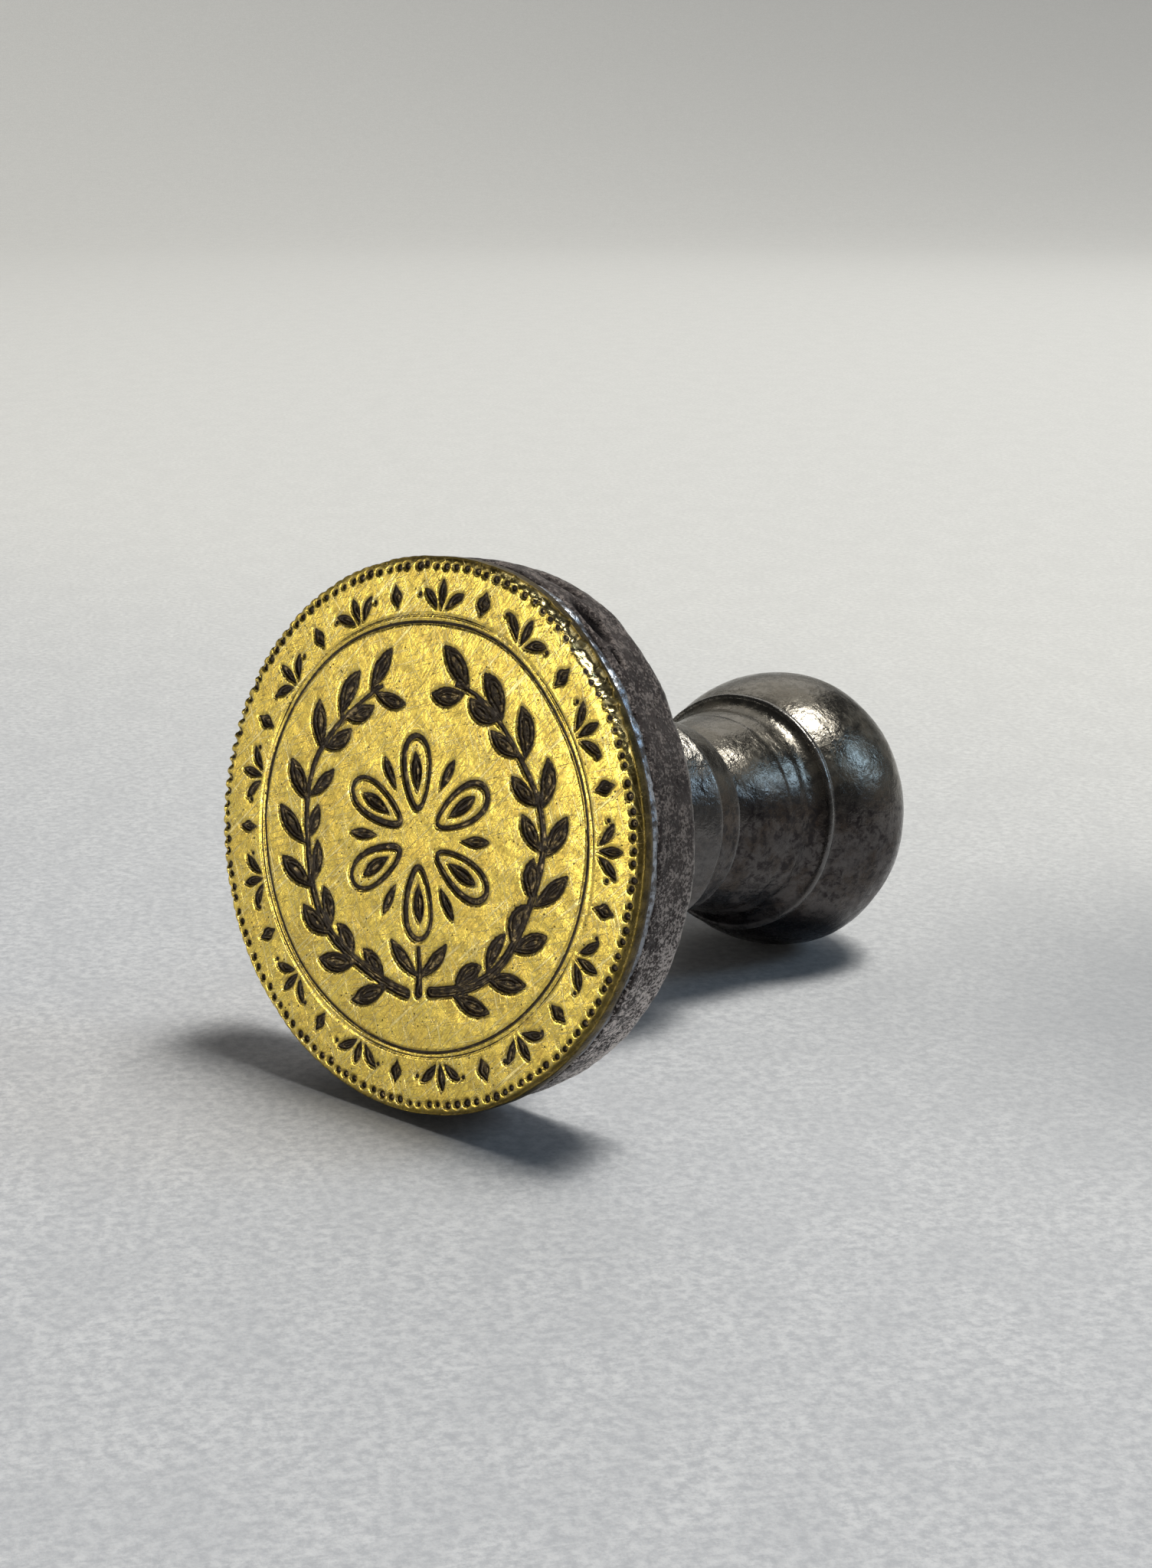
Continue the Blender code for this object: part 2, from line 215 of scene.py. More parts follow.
def turned_grid(profile, count):
    """Points of a turned surface, ring by ring, with their angle; profile is an array of (back, radius)."""
    angle = np.arange(count) * 2 * math.pi / count
    height, radius = profile[:, 0:1], profile[:, 1:2]
    points = np.stack([radius * np.cos(angle), radius * np.sin(angle), height + 0 * angle], axis=-1)
    return points.reshape(-1, 3), np.tile(angle, len(profile))


def push_out(points, angle, distance):
    """Moves points of a turned surface away from the axis."""
    points[:, 0] += distance * np.cos(angle)
    points[:, 1] += distance * np.sin(angle)


def turned_faces(rings, count, closed=False):
    """Quads of a turned surface; closed joins its last ring to its first, or else both ends are capped."""
    faces = []
    for ring in range(rings - 1):
        faces += ring_faces((ring + 1) * count, ring * count, count)
    if closed:
        faces += ring_faces(0, (rings - 1) * count, count)
    else:
        faces.append(tuple(range(count)))
        faces.append(tuple((rings - 1) * count + i for i in reversed(range(count))))
    return faces


def dense(corners, step, soften):
    """Points every step mm along a section, with corners rounded over about soften mm."""
    corners = np.array(corners, float)
    length = np.concatenate([[0], np.cumsum(np.linalg.norm(np.diff(corners, axis=0), axis=1))])
    count = int(length[-1] / step)
    at = np.linspace(0, length[-1], count)
    line = np.stack([np.interp(at, length, corners[:, k]) for k in (0, 1)], axis=1)
    reach = max(1, int(soften / step))
    weights = np.hanning(2 * reach + 3)[1:-1]
    weights /= weights.sum()
    padded = np.concatenate([np.repeat(line[:1], reach, 0), line, np.repeat(line[-1:], reach, 0)])
    smooth = np.stack([np.convolve(padded[:, k], weights, "valid") for k in (0, 1)], axis=1)
    return smooth


def arc(centre, half_length, half_width, start, end, steps=24):
    """Points (back, radius) on an ellipse; angles from the outward radius towards the knob."""
    angles = np.radians(np.linspace(start, end, steps + 1))
    heights = centre[0] + half_length * np.sin(angles)
    radii = centre[1] + half_width * np.cos(angles)
    return list(zip(heights, radii))


def ease(start, end, steps=16):
    """Points (back, radius) on an S-curve between two points, level at both."""
    t = np.linspace(0, 1, steps + 1)
    heights = start[0] + (end[0] - start[0]) * t
    radii = start[1] + (end[1] - start[1]) * t * t * (3 - 2 * t)
    return list(zip(heights, radii))


# ------------------------------------------------------------------------------------------- material helpers
class Shader:
    """A node material built from short calls; every call returns an output socket."""

    def __init__(self, name):
        self.material = bpy.data.materials.new(name)
        self.material.use_nodes = True
        self.tree = self.material.node_tree
        self.principled = self.tree.nodes["Principled BSDF"]

    def node(self, kind, **settings):
        made = self.tree.nodes.new(kind)
        for name, value in settings.items():
            setattr(made, name, value)
        return made

    def feed(self, socket, value):
        if hasattr(value, "links"):
            self.tree.links.new(value, socket)
        else:
            socket.default_value = value

    def field(self, name):
        """A number kept at each vertex."""
        return self.node("ShaderNodeAttribute", attribute_name=name).outputs["Fac"]

    def seal(self):
        """The place in the seal's own frame, in mm."""
        return self.node("ShaderNodeAttribute", attribute_name="seal").outputs["Vector"]

    def mapped(self, vector, scale, turn=(0, 0, 0)):
        """A vector stretched along its axes and turned, for features of those lengths."""
        made = self.node("ShaderNodeMapping", vector_type="TEXTURE")
        self.feed(made.inputs["Vector"], vector)
        made.inputs["Rotation"].default_value = turn
        made.inputs["Scale"].default_value = scale
        return made.outputs["Vector"]

    def noise(self, vector, size, detail=3.0, roughness=0.55, distortion=0.0):
        """Noise with features about size mm across."""
        made = self.node("ShaderNodeTexNoise")
        self.feed(made.inputs["Vector"], vector)
        made.inputs["Scale"].default_value = 1.0 / size
        made.inputs["Detail"].default_value = detail
        made.inputs["Roughness"].default_value = roughness
        made.inputs["Distortion"].default_value = distortion
        return made.outputs["Fac"]

    def cells(self, vector, size):
        """Distance to the nearest of many scattered spots about size mm apart."""
        made = self.node("ShaderNodeTexVoronoi")
        self.feed(made.inputs["Vector"], vector)
        made.inputs["Scale"].default_value = 1.0 / size
        return made.outputs["Distance"]

    def band(self, value, low, high, to_low=0.0, to_high=1.0):
        """Value moved smoothly from one range to another, and held at its ends."""
        made = self.node("ShaderNodeMapRange", interpolation_type="SMOOTHSTEP")
        self.feed(made.inputs["Value"], value)
        made.inputs["From Min"].default_value = low
        made.inputs["From Max"].default_value = high
        made.inputs["To Min"].default_value = to_low
        made.inputs["To Max"].default_value = to_high
        return made.outputs["Result"]

    def axis(self, vector, name):
        parts = self.node("ShaderNodeSeparateXYZ")
        self.feed(parts.inputs[0], vector)
        return parts.outputs[name]

    def math(self, operation, a, b=0.0):
        made = self.node("ShaderNodeMath", operation=operation)
        self.feed(made.inputs[0], a)
        self.feed(made.inputs[1], b)
        return made.outputs[0]

    def times(self, a, b):
        return self.math("MULTIPLY", a, b)

    def plus(self, a, b):
        return self.math("ADD", a, b)

    def mix(self, share, a, b):
        made = self.node("ShaderNodeMix", data_type="RGBA")
        self.feed(made.inputs["Factor"], share)
        for socket, value in ((made.inputs[6], a), (made.inputs[7], b)):
            self.feed(socket, value if hasattr(value, "links") else (*value, 1.0))
        return made.outputs[2]

    def bump(self, height, distance, normal=None, strength=1.0):
        """Bump from a height between 0 and 1 that stands for distance mm."""
        made = self.node("ShaderNodeBump")
        made.inputs["Strength"].default_value = strength
        made.inputs["Distance"].default_value = distance * 0.001
        self.feed(made.inputs["Height"], height)
        if normal is not None:
            self.feed(made.inputs["Normal"], normal)
        return made.outputs["Normal"]

    def finish(self, **inputs):
        """The material, with the shader's inputs set or linked."""
        for name, value in inputs.items():
            self.feed(self.principled.inputs[name.replace("_", " ")], value)
        return self.material


def scratch_field(shader, seal, turn, width, length, rarity):
    """Sparse straight scratches along one direction across the face."""
    stretched = shader.mapped(seal, (length, width, 1.0), (0, 0, turn))
    return shader.band(shader.noise(stretched, 1.0, 1.0, 0.5), rarity, rarity + 0.06)


def brass_material():
    """Polished brass with scratches and tarnish, grimy in its cuts and dull on its side."""
    shader = Shader("engraved_brass")
    seal = shader.seal()
    cut, glint, wall, wear = (shader.field(name) for name in ("cut", "glint", "wall", "wear"))
    fine = shader.noise(seal, 0.22, 3.0)
    ragged = shader.plus(cut, shader.times(fine, 0.16))
    recess = shader.band(ragged, 0.07, -0.05)
    # Marks of the burin run along each cut, and their lighter bronze streaks with the vein ridges are partly
    # painted glints.
    waver = shader.times(shader.noise(seal, 0.9), 7.0)
    run = shader.plus(shader.times(cut, 30.0), waver)
    burin_marks_and_glints = shader.band(shader.math("SINE", run), 0.2, 0.95)
    spark = shader.band(shader.noise(seal, 0.5, 3.0), 0.46, 0.64)
    burin_marks_and_glints = shader.times(shader.math("MAXIMUM", burin_marks_and_glints, glint), spark)

    patches = shader.band(shader.noise(seal, 4.0, 4.0, 0.6), 0.36, 0.66)
    grain = shader.noise(seal, 0.28, 4.0, 0.65)
    dashes = shader.noise(shader.mapped(seal, (1.1, 0.16, 1.0), (0, 0, 1.0)), 1.0, 3.0, 0.6, 0.3)
    tarnish = shader.band(shader.noise(seal, 1.1, 5.0, 0.7), 0.50, 0.68)
    specks = shader.band(shader.cells(seal, 0.55), 0.16, 0.07)
    rare = shader.band(shader.noise(seal, 1.8, 3.0), 0.48, 0.58)
    specks = shader.times(specks, rare)
    marks = None
    # turn, width, length and rarity of each set of scratches
    scratches = ((0.35, 0.1, 3.2, 0.63), (1.35, 0.08, 2.2, 0.64), (2.4, 0.12, 4.0, 0.65))
    scratches += ((0.8, 0.22, 6.0, 0.61), (2.0, 0.16, 4.0, 0.62))
    for turn, width, length, rarity in scratches:
        lines = scratch_field(shader, seal, turn, width, length, rarity)
        marks = lines if marks is None else shader.math("MAXIMUM", marks, lines)

    gold = shader.mix(patches, (0.84, 0.635, 0.13), (0.73, 0.53, 0.108))
    gold = shader.mix(shader.band(dashes, 0.50, 0.64, 0.0, 0.6), gold, (0.40, 0.27, 0.06))
    gold = shader.mix(shader.times(tarnish, 0.45), gold, (0.25, 0.17, 0.045))
    gold = shader.mix(shader.times(marks, 0.5), gold, (0.92, 0.80, 0.40))
    gold = shader.mix(specks, gold, (0.09, 0.06, 0.025))
    gold = shader.mix(wear, gold, (0.93, 0.84, 0.50))
    blotches = shader.band(shader.noise(seal, 0.9, 4.0), 0.4, 0.62)
    side = shader.mix(blotches, (0.050, 0.035, 0.012), (0.125, 0.090, 0.030))
    gold = shader.mix(wall, gold, side)
    grime = shader.mix(shader.noise(seal, 0.3, 3.0), (0.014, 0.009, 0.006), (0.065, 0.044, 0.026))
    # Painted glints: lighter bronze streaks in the grime along the burin marks and vein ridges.
    grime = shader.mix(burin_marks_and_glints, grime, (0.40, 0.30, 0.15))
    colour = shader.mix(recess, gold, grime)

    roughness = shader.band(grain, 0.3, 0.7, 0.17, 0.30)
    roughness = shader.plus(roughness, shader.times(tarnish, 0.12))
    roughness = shader.plus(roughness, shader.times(recess, 0.16))
    roughness = shader.plus(roughness, shader.times(wall, 0.18))
    roughness = shader.math("SUBTRACT", roughness, shader.times(wear, 0.06))
    metallic = shader.band(shader.math("SUBTRACT", recess, burin_marks_and_glints), 0.0, 1.0, 1.0, 0.35)
    normal = shader.bump(grain, 0.015)
    normal = shader.bump(dashes, 0.025, normal)
    normal = shader.bump(shader.noise(seal, 2.6, 2.0), 0.10, normal)
    normal = shader.bump(marks, -0.022, normal)
    normal = shader.bump(specks, -0.05, normal)
    inside = shader.times(recess, shader.math("SINE", run))
    normal = shader.bump(inside, 0.03, normal)
    return shader.finish(Base_Color=colour, Roughness=roughness, Metallic=metallic, Normal=normal)


def solder_material():
    """Bluish silver solder, half covered by dark blotches, darker towards the table as painted shade."""
    shader = Shader("silver_solder")
    seal = shader.seal()
    blotch = shader.band(shader.noise(seal, 0.9, 4.0, 0.65), 0.44, 0.60)
    fine = shader.noise(seal, 0.22, 3.0, 0.7)
    # Painted shade: the silver darkens towards the table.
    low = shader.band(shader.axis(seal, "Y"), 8.0, -10.0)
    silver = shader.mix(low, (0.46, 0.50, 0.56), (0.17, 0.18, 0.20))
    colour = shader.mix(blotch, silver, (0.075, 0.068, 0.066))
    roughness = shader.band(fine, 0.3, 0.7, 0.18, 0.42)
    metallic = shader.band(blotch, 0.0, 1.0, 1.0, 0.6)
    normal = shader.bump(fine, 0.06)
    normal = shader.bump(shader.noise(seal, 0.8, 2.0), 0.12, normal)
    return shader.finish(Base_Color=colour, Roughness=roughness, Metallic=metallic, Normal=normal)


def pitted_material():
    """Dark iron with lighter specks, more of them low on the disc and at its back."""
    shader = Shader("pitted_iron")
    seal = shader.seal()
    broad = shader.band(shader.noise(seal, 5.0, 4.0, 0.6), 0.38, 0.62)
    speckle = shader.noise(seal, 0.24, 4.0, 0.72)
    clumps = shader.noise(seal, 1.2, 3.0, 0.6)
    pits = shader.band(shader.cells(seal, 0.42), 0.34, 0.08)
    some = shader.band(shader.noise(seal, 0.9, 2.0), 0.46, 0.6)
    pits = shader.times(pits, some)
    low = shader.band(shader.axis(seal, "Y"), 6.0, -14.0)
    rear = shader.band(shader.axis(seal, "Z"), 3.2, 7.4)
    dark = shader.mix(broad, (0.026, 0.019, 0.018), (0.050, 0.039, 0.036))
    light = shader.mix(low, (0.19, 0.160, 0.145), (0.62, 0.56, 0.53))
    clumped = shader.plus(speckle, shader.times(clumps, 0.55))
    lighter = shader.times(low, shader.band(rear, 0.0, 1.0, 0.02, 0.09))
    share = shader.band(shader.plus(clumped, lighter), 0.77, 0.88)
    colour = shader.mix(share, dark, light)
    colour = shader.mix(pits, colour, (0.014, 0.011, 0.010))
    hollow = shader.field("hollow")
    colour = shader.mix(shader.times(hollow, 0.9), colour, (0.006, 0.0055, 0.007))
    # Painted highlight as well as rubbing: a light band round the disc's rear edge.
    rubbed_rim_and_highlight = shader.times(shader.field("rubbed_rim_and_highlight"), shader.band(clumps, 0.42, 0.60, 0.25, 0.9))
    colour = shader.mix(rubbed_rim_and_highlight, colour, (0.42, 0.39, 0.36))
    roughness = shader.band(speckle, 0.3, 0.7, 0.58, 0.38)
    roughness = shader.math("SUBTRACT", roughness, shader.times(rubbed_rim_and_highlight, 0.15))
    normal = shader.bump(speckle, 0.14)
    normal = shader.bump(pits, -0.10, normal)
    normal = shader.bump(shader.noise(seal, 1.4, 3.0), 0.12, normal, 0.6)
    roughness = shader.plus(roughness, shader.times(hollow, 0.55))
    metallic = shader.band(hollow, 0.0, 1.0, 0.7, 1.0)
    return shader.finish(Base_Color=colour, Roughness=roughness, Metallic=metallic, Normal=normal)


def turned_material():
    """Worn iron: bare and brown patches, grey dust underneath, bright where hands rub it; its top is lighter
    as painted highlight as well as polish, and its bottom nearly black as painted shade.
    """
    shader = Shader("turned_iron")
    seal = shader.seal()
    polish = shader.field("polish")
    brown = shader.band(shader.noise(seal, 3.4, 5.0, 0.65, 0.3), 0.44, 0.64)
    mottle = shader.band(shader.noise(seal, 0.8, 6.0, 0.74, 0.3), 0.44, 0.62)
    fine = shader.noise(seal, 0.45, 4.0, 0.65)
    rings = shader.noise(shader.mapped(seal, (60.0, 60.0, 0.22)), 1.0, 2.0)
    height = shader.axis(seal, "Y")
    under = shader.band(height, 2.0, -5.0)
    clouds = shader.band(shader.noise(seal, 2.0, 7.0, 0.74, 0.2), 0.47, 0.63)
    dusty = shader.times(under, clouds)
    bare = shader.mix(mottle, (0.094, 0.086, 0.083), (0.030, 0.025, 0.026))
    patina = shader.mix(mottle, (0.052, 0.037, 0.028), (0.015, 0.011, 0.011))
    colour = shader.mix(brown, bare, patina)
    colour = shader.mix(shader.times(dusty, 0.8), colour, (0.130, 0.117, 0.113))
    # Painted highlight as well as hand polish: the top, where the window's highlights fall, is made lighter.
    hand_polish_and_painted_highlight = shader.band(height, 1.5, 6.5, 0.0, 0.34)
    colour = shader.mix(hand_polish_and_painted_highlight, colour, (0.31, 0.29, 0.23))
    # Painted shade: the underside is made nearly black.
    painted_underside_shade = shader.band(height, -6.0, -9.5, 0.0, 0.85)
    colour = shader.mix(painted_underside_shade, colour, (0.010, 0.008, 0.010))
    colour = shader.mix(shader.times(polish, 0.75), colour, (0.26, 0.255, 0.25))
    roughness = shader.band(mottle, 0.0, 1.0, 0.17, 0.30)
    roughness = shader.plus(roughness, shader.times(brown, 0.07))
    roughness = shader.plus(roughness, shader.times(dusty, 0.28))
    covered = shader.math("MAXIMUM", dusty, brown)
    metallic = shader.math("SUBTRACT", 0.95, shader.times(covered, 0.35))
    normal = shader.bump(rings, 0.010)
    normal = shader.bump(fine, 0.036, normal)
    normal = shader.bump(shader.noise(seal, 1.5, 4.0, 0.6), 0.12, normal, 0.85)
    return shader.finish(Base_Color=colour, Roughness=roughness, Metallic=metallic, Normal=normal)


def paper_material():
    """Pale felted paper, with painted shade in front, off to the right, far off and in a spot beside the
    seal.
    """
    shader = Shader("paper")
    metres = shader.node("ShaderNodeTexCoord").outputs["Object"]
    enlarge = shader.node("ShaderNodeMapping", vector_type="POINT")
    enlarge.inputs["Scale"].default_value = (1000.0, 1000.0, 1000.0)
    shader.feed(enlarge.inputs["Vector"], metres)
    mm = enlarge.outputs["Vector"]
    fibres = shader.noise(shader.mapped(mm, (2.4, 0.35, 1.0), (0, 0, 0.9)), 1.0, 4.0, 0.65, 1.2)
    felt = shader.noise(mm, 0.85, 5.0, 0.72)
    cloud = shader.noise(shader.mapped(mm, (9.0, 6.0, 1.0), (0, 0, math.radians(129))), 1.0, 4.0)
    tone = shader.plus(shader.times(fibres, 0.25), shader.times(felt, 0.75))
    sideways, depthways = shader.axis(metres, "X"), shader.axis(metres, "Y")
    # Painted shade: the paper is darker and cooler in front than behind.
    behind = shader.band(depthways, -0.06, 0.16)
    dark = shader.mix(behind, (0.455, 0.465, 0.49), (0.635, 0.63, 0.61))
    light = shader.mix(behind, (0.66, 0.665, 0.68), (0.765, 0.76, 0.735))
    colour = shader.mix(shader.band(tone, 0.36, 0.64), dark, light)
    colour = shader.mix(shader.band(cloud, 0.35, 0.7, 0.0, 0.35), colour, dark)
    # Painted shade: the paper darkens far in front and off to the right.
    front = shader.times(depthways, -1.0)
    painted_shade_front_right = shader.band(shader.math("MAXIMUM", front, sideways), 0.10, 0.8)
    colour = shader.mix(painted_shade_front_right, colour, (0.20, 0.195, 0.19))
    # Painted shade: the paper darkens far behind the seal.
    painted_far_shade = shader.band(depthways, 0.7, 2.2, 0.0, 0.8)
    colour = shader.mix(painted_far_shade, colour, (0.25, 0.25, 0.25))
    # Painted shadow: a dark spot on the paper beside the seal.
    spot = shader.node("ShaderNodeVectorMath", operation="DISTANCE")
    shader.feed(spot.inputs[0], metres)
    spot.inputs[1].default_value = (0.045, 0.035, 0.0)
    near = shader.band(spot.outputs["Value"], 0.050, 0.005, 0.0, 0.55)
    colour = shader.mix(near, colour, (0.27, 0.28, 0.30))
    normal = shader.bump(tone, 0.07)
    return shader.finish(Base_Color=colour, Roughness=0.85, Normal=normal)


# --------------------------------------------------------------------------------------- engraved brass plate
def polar(radius, angle):
    """The point on the face at a distance from its middle, in the direction of an angle."""
    return np.array([radius * math.cos(angle), radius * math.sin(angle)])


class Engraving:
    """Depth of the cuts over a set of face points, stroke by stroke."""

    def __init__(self, points):
        self.points = points
        self.edge = np.full(len(points), FAR)  # distance to the nearest outline, negative in a cut
        self.depth = np.zeros(len(points))
        self.glint = np.zeros(len(points))

    def stroke(self, line, half_widths, depth=ENGRAVING_DEPTH, vein=0.0, slope=1.3):
        """A cut along a line whose half width changes on the way; vein leaves a raised ridge inside."""
        line = np.asarray(line, float)
        half_widths = np.asarray(half_widths, float)
        reach = half_widths.max() + 0.6
        low, high = line.min(0) - reach, line.max(0) + reach
        near = np.where(np.all((self.points > low) & (self.points < high), axis=1))[0]
        spots = self.points[near]
        nearest = np.full(len(near), FAR)
        across = np.ones(len(near))
        for i in range(len(line) - 1):
            step = line[i + 1] - line[i]
            t = np.clip((spots - line[i]) @ step / max(step @ step, 1e-9), 0, 1)
            away = np.linalg.norm(spots - line[i] - t[:, None] * step, axis=1)
            width = half_widths[i] + (half_widths[i + 1] - half_widths[i]) * t
            closer = away - width < nearest
            nearest = np.where(closer, away - width, nearest)
            across = np.where(closer, away / np.maximum(width, 0.05), across)
        inside = np.clip(-nearest * slope, 0, depth)
        ridge = vein * np.exp(-((across / 0.24) ** 2)) * (nearest < -0.16)
        inside = inside * (1 - 0.62 * ridge)
        better = nearest < self.edge[near]
        self.edge[near] = np.where(better, nearest, self.edge[near])
        self.glint[near] = np.where(inside > self.depth[near], ridge, self.glint[near])
        self.depth[near] = np.maximum(self.depth[near], inside)

    def leaf(self, base, direction, length, half_width, bend):
        """A leaf cut: narrow foot, widest past its middle, curling by bend radians on the way."""
        t = np.linspace(0, 1, 9)
        angles = direction + bend * t
        steps = np.stack([np.cos(angles), np.sin(angles)], axis=1) * (length - half_width) / 8
        line = base + np.concatenate([np.zeros((1, 2)), np.cumsum(steps[:-1], axis=0)])
        swell = np.sin(np.pi * np.clip(t, 0, 0.97) ** 1.25) ** 0.8
        widths = 0.14 + (half_width - 0.14) * swell
        self.stroke(line, widths, vein=1.0 if half_width > 0.5 else 0.3)

    def ring(self, radius, half_width, wobble, depth):
        """A fine circle that strays a little."""
        angle = np.arctan2(self.points[:, 1], self.points[:, 0])
        distance = np.hypot(self.points[:, 0], self.points[:, 1])
        drift = 0.05 * np.sin(3 * angle + wobble) + 0.03 * np.sin(7 * angle + 2 * wobble)
        away = np.abs(distance - radius - drift) - half_width
        self.edge = np.minimum(self.edge, away * 2.2)
        self.depth = np.maximum(self.depth, np.clip(-away * 2.0, 0, depth))


def hand(spread):
    """A small slip of the engraver's hand."""
    return float(chance.normal(0.0, spread))


def engrave_wreath(engraving):
    """Two branches with paired leaves, and a short stem between their feet."""
    for side in (1, -1):
        first, last = math.radians(-84), math.radians(72)
        angles = np.linspace(first, last, 34)
        radii = WREATH_CIRCLE + 0.22 * np.sin(angles * 6 + side)
        line = np.stack([side * radii * np.cos(angles), radii * np.sin(angles)], axis=1)
        engraving.stroke(line, np.linspace(0.52, 0.24, 34), vein=0.5)
        first, last = math.radians(-74), math.radians(66)
        for i in range(WREATH_LEAVES):
            angle = first + (last - first) * i / (WREATH_LEAVES - 1) + hand(0.015)
            angle = angle if side > 0 else math.pi - angle
            growth = angle + side * math.pi / 2
            outer = polar(WREATH_CIRCLE + 0.1, angle)
            inner = polar(WREATH_CIRCLE - 0.1, angle + side * 0.03)
            turn = side * math.radians(38 + hand(5))
            length, half_width, bend = 4.6 + hand(0.2), 0.84 + hand(0.05), side * (0.35 + hand(0.2))
            engraving.leaf(outer, growth - turn, length, half_width, bend)
            turn = side * math.radians(42 + hand(5))
            length, half_width, bend = 4.0 + hand(0.2), 0.74 + hand(0.05), side * (-0.5 + hand(0.2))
            engraving.leaf(inner, growth + turn, length, half_width, bend)
    stem = np.array([(0.0, -8.4), (0.1, -10.0), (0.0, -11.8)])
    engraving.stroke(stem, (0.28, 0.34, 0.46), vein=0.4)
    for side in (1, -1):
        direction = -math.pi / 2 + side * math.radians(125)
        engraving.leaf(np.array((0.0, -10.6)), direction, 4.5, 0.68, side * 0.35)


def engrave_rosette(engraving):
    """Petals outlined by loops, with a leaf-shaped cut inside each and one between neighbours."""
    turn = np.linspace(0, 2 * math.pi, 33)
    for i in range(PETALS):
        angle = math.pi / 2 + i * 2 * math.pi / PETALS + hand(0.02)
        swing = np.array([(math.cos(angle), math.sin(angle)), (-math.sin(angle), math.cos(angle))])
        reach, width = PETAL_LENGTH / 2 - PETAL_LINE / 2, PETAL_WIDTH / 2 - PETAL_LINE / 2
        along = PETAL_START + PETAL_LENGTH / 2 - reach * np.cos(turn)
        across = width * np.sin(turn) * (1 - 0.3 * np.cos(turn))
        line = np.stack([along, across], axis=1) @ swing
        engraving.stroke(line, PETAL_LINE / 2 + 0.05 * np.sin(turn + i), vein=0.8)
        engraving.leaf(polar(PETAL_START + 1.6, angle), angle, PETAL_LENGTH - 2.6, 0.62, 0.1)
        between = angle + math.pi / PETALS
        engraving.leaf(polar(4.3, between), between, 3.1, 0.52, hand(0.15))


def engrave_border(engraving):
    """Lozenges and three-leaved sprigs by turns, with a small dot between them."""
    for i in range(BORDER_MOTIFS):
        angle = i * 2 * math.pi / BORDER_MOTIFS + hand(0.006)
        if i % 2:
            line = [polar(BORDER_CIRCLE + radial, angle) for radial in (-1.0, 0.0, 1.0)]
            engraving.stroke(line, (0.08, 0.62 + hand(0.04), 0.08), vein=0.6)
        else:
            for side in (-1, 0, 1):
                base = polar(BORDER_CIRCLE - 1.0, angle + side * math.radians(1.5))
                direction = angle + side * math.radians(38 + hand(4))
                engraving.leaf(base, direction, 2.45 + hand(0.1), 0.46, side * 0.5)
        gap = polar(BORDER_CIRCLE + hand(0.1), angle + math.pi / BORDER_MOTIFS)
        engraving.stroke([gap, gap + 0.01], (0.26, 0.26), depth=0.25)


def dot_angles():
    """Angles of the dots, spaced by eye."""
    slips = np.random.default_rng(3).normal(0, 0.004, DOT_COUNT)
    return np.arange(DOT_COUNT) * 2 * math.pi / DOT_COUNT + slips


def side_of(angle, middle, width):
    """1 at the middle of a side of the seal, falling smoothly to about a third at width degrees away."""
    away = (angle - math.radians(middle) + math.pi) % (2 * math.pi) - math.pi
    return np.exp(-((away / math.radians(width)) ** 2))


def punch_dots(engraving):
    """The ring of dots: on one side of the face they run so close to the rim that they break through it."""
    sizes = np.random.default_rng(4)
    for angle in dot_angles():
        outward = BROKEN_DOTS_OUTWARD * side_of(angle, *BROKEN_DOTS)
        spot = polar(DOT_CIRCLE + outward + sizes.normal(0, 0.05), angle)
        radius = DOT_RADIUS * (1 + sizes.normal(0, 0.1))
        engraving.stroke([spot, spot + 0.01], (radius, radius), depth=0.34, slope=1.6)


def rim_notches(angle):
    """How far the rim is broken in, in mm, at each angle."""
    spacing = 2 * math.pi / DOT_COUNT
    nearest = np.abs((angle + spacing / 2) % spacing - spacing / 2) * FACE_RADIUS
    bite = np.exp(-((nearest / BITE_WIDTH) ** 2)) * BITE_DEPTH * side_of(angle, *BROKEN_DOTS)
    rough = 0.05 * waves(np.stack([np.cos(angle), np.sin(angle)], axis=1) * FACE_RADIUS, 5.0, 11)
    return bite + np.clip(rough, 0, 1)


def plate_rings():
    """Radii of the plate's inner rings, which have half as many vertices, and of its outer rings."""
    inner = np.linspace(0.3, 9.9, 58)
    outer = [np.linspace(10.05, 15.3, 33), np.linspace(15.45, 19.05, 26), np.linspace(19.2, 20.8, 16)]
    return inner, np.concatenate(outer)


def flat_points(inner, outer):
    """Points (right, up) all over the face: its middle, then ring by ring."""
    turn = np.arange(PLATE_COUNT) * 2 * math.pi / PLATE_COUNT
    rings = [np.zeros((1, 2))]
    rings += [np.stack([r * np.cos(turn[::2]), r * np.sin(turn[::2])], 1) for r in inner]
    rings += [np.stack([r * np.cos(turn), r * np.sin(turn)], 1) for r in outer]
    return np.concatenate(rings)


def engrave(flat):
    """Distance to the nearest cut, depth and glint at the face's points; the dots aren't turned."""
    cosine, sine = math.cos(-DESIGN_TURN), math.sin(-DESIGN_TURN)
    design = Engraving(flat @ np.array([[cosine, sine], [-sine, cosine]]))
    engrave_wreath(design)
    engrave_rosette(design)
    engrave_border(design)
    for number, (radius, half_width) in enumerate(CIRCLE_LINES):
        design.ring(radius, half_width, number * 2.0, 0.28)
    dots = Engraving(flat)
    punch_dots(dots)
    return np.minimum(design.edge, dots.edge), np.maximum(design.depth, dots.depth), design.glint


